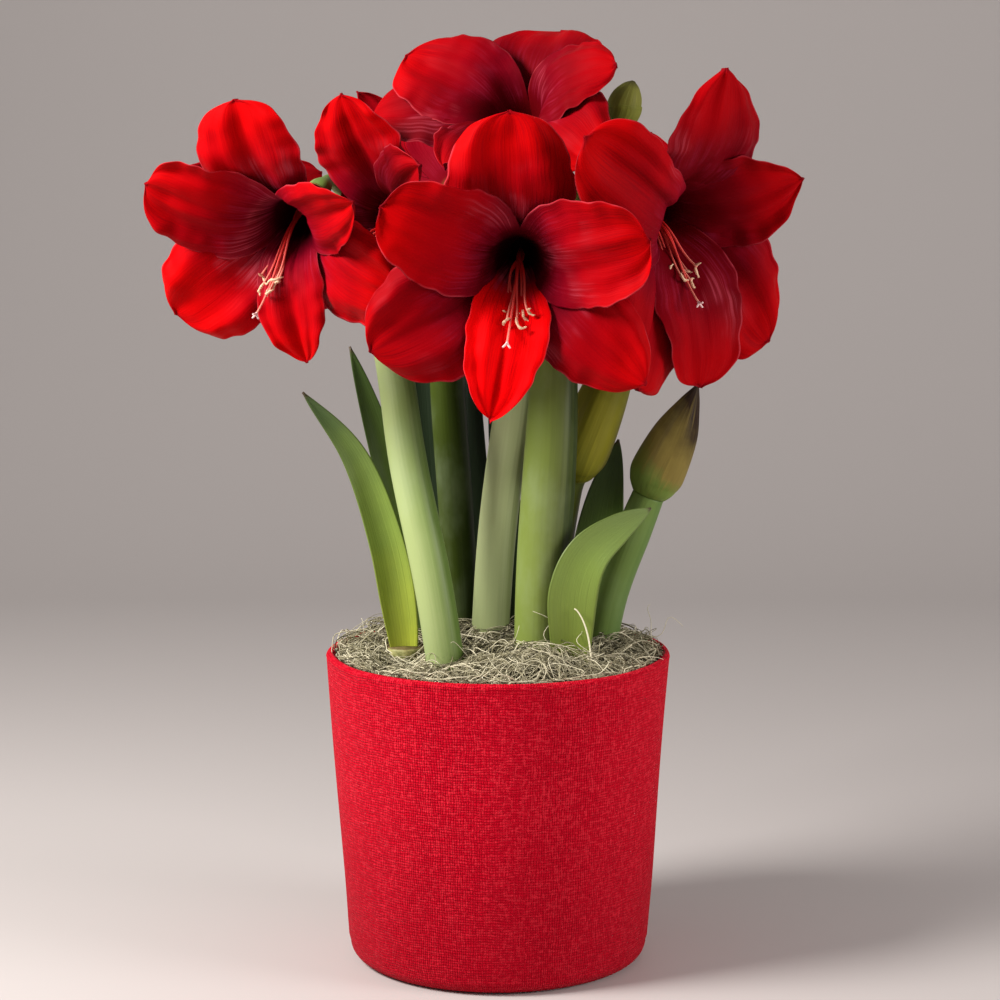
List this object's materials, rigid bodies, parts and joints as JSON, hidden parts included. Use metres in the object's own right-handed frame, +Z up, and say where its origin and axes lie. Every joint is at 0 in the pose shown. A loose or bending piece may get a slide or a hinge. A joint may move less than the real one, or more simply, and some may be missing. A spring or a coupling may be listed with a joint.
{
  "type": "potted amaryllis",
  "caption": "Potted amaryllis in flower: large red blooms on thick green stalks with strap leaves and buds, in a pot with a red woven cover, topped with dry moss.",
  "frame": {"origin": "middle of the pot's flat foot, on the surface it stands on", "axes": "+Z up the plant, -Y towards the viewer, whom the front bloom faces, and +X to the viewer's right"},
  "size_m": [0.3662, 0.3196, 0.5539],
  "materials": {
    "red_weave": "coarse woven, matt",
    "pot_plastic": "plain, matt",
    "soil": "crumbly, matt",
    "moss": "dry tangled strands, matt",
    "bulb": "papery skin, satin",
    "stalk": "waxy, satin",
    "leaf": "smooth, satin",
    "dark_leaf": "smooth, satin",
    "bud": "papery sheath, satin",
    "petal": "velvety, soft sheen",
    "stamen": "fine, matt"
  },
  "bodies": {
    "root": {"pot_shell": "pot_plastic", "pot_cover": "red_weave", "soil": "soil", "moss": "moss", "bulb_left": "bulb", "bulb_right": "bulb", "bulb_back": "bulb", "stalk_left": "stalk", "stalk_back": "stalk", "stalk_middle": "stalk", "stalk_front": "stalk", "stalk_hidden_bud": "stalk", "stalk_right_bud": "stalk", "bud_hidden": "bud", "bud_right": "bud", "bud_young": "bud", "leaf_left": "leaf", "leaf_left_back": "leaf", "leaf_dark_left": "dark_leaf", "leaf_dark_middle": "dark_leaf", "leaf_dark_right": "dark_leaf", "leaf_right_back": "leaf", "leaf_clasping": "leaf", "bloom_front": "petal", "bloom_left": "petal", "bloom_right": "petal", "bloom_middle_left": "petal", "bloom_top": "petal", "bloom_back_right": "petal", "bloom_back_left": "petal", "bloom_back": "petal", "stamens_front": "stamen", "stamens_left": "stamen", "stamens_right": "stamen", "stamens_middle_left": "stamen", "stamens_top": "stamen", "stamens_back_right": "stamen", "stamens_back_left": "stamen", "stamens_back": "stamen"}
  },
  "joints": []
}
